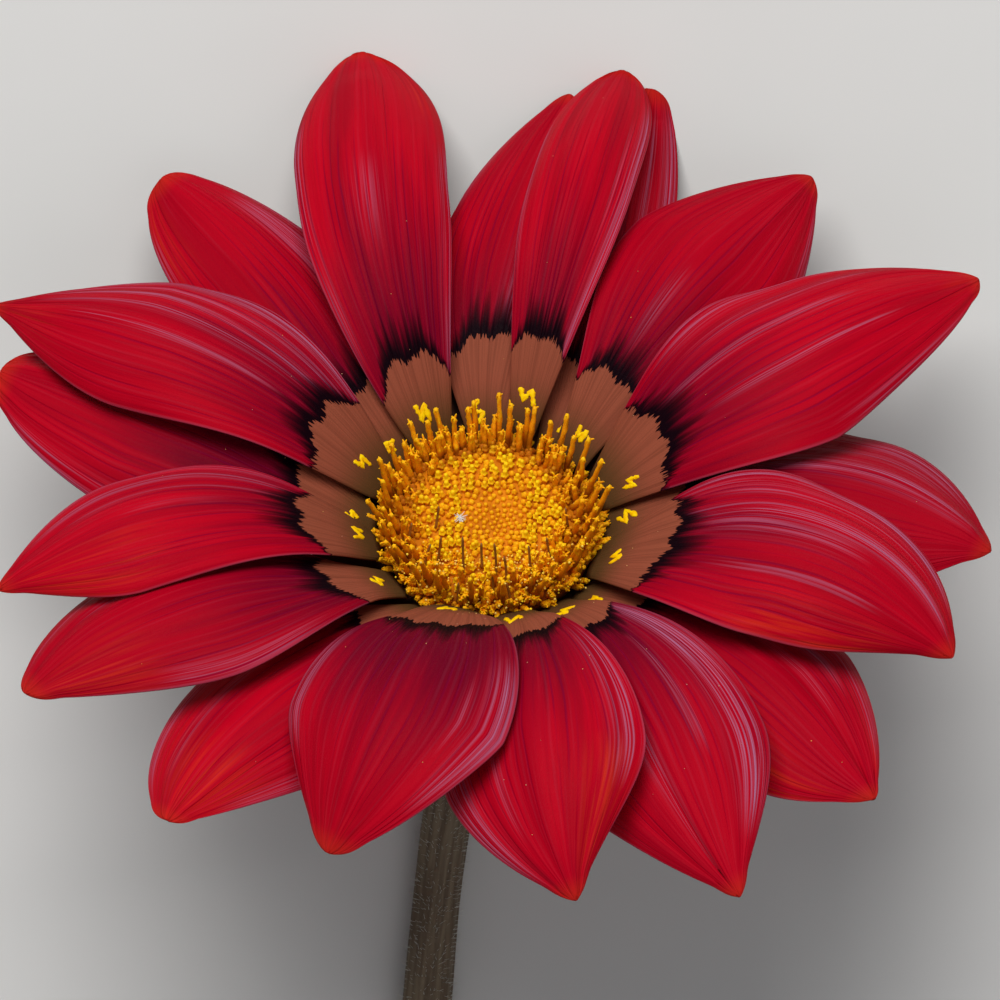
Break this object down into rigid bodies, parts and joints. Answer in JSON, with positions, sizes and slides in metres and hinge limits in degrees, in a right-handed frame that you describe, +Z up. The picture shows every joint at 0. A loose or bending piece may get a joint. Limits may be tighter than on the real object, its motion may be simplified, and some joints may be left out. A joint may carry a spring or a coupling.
{
  "type": "gazania flower",
  "caption": "A picked gazania: one open red flower head with a yellow middle on a cut, bent stem, lying on a surface.",
  "frame": {"origin": "on the surface that the flower lies on, under the middle of its footprint", "axes": "+Z up from the surface; +Y along the laid flower, from the cut end of the stem to the petals that touch the surface; +X to the right as the flower's face is looked at"},
  "size_m": [0.0863, 0.1377, 0.0566],
  "materials": {
    "petal": "satin",
    "disc": "matte",
    "bracts": "matte",
    "stem": "matte"
  },
  "bodies": {
    "root": {"stem": "stem", "involucre": "bracts", "disc_florets": "disc", "ray_floret_01": "petal", "ray_floret_02": "petal", "ray_floret_03": "petal", "ray_floret_04": "petal", "ray_floret_05": "petal", "ray_floret_06": "petal", "ray_floret_07": "petal", "ray_floret_08": "petal", "ray_floret_09": "petal", "ray_floret_10": "petal", "ray_floret_11": "petal", "ray_floret_12": "petal", "ray_floret_13": "petal", "ray_floret_14": "petal", "ray_floret_15": "petal", "ray_floret_16": "petal", "ray_floret_17": "petal", "ray_floret_18": "petal"}
  },
  "joints": []
}
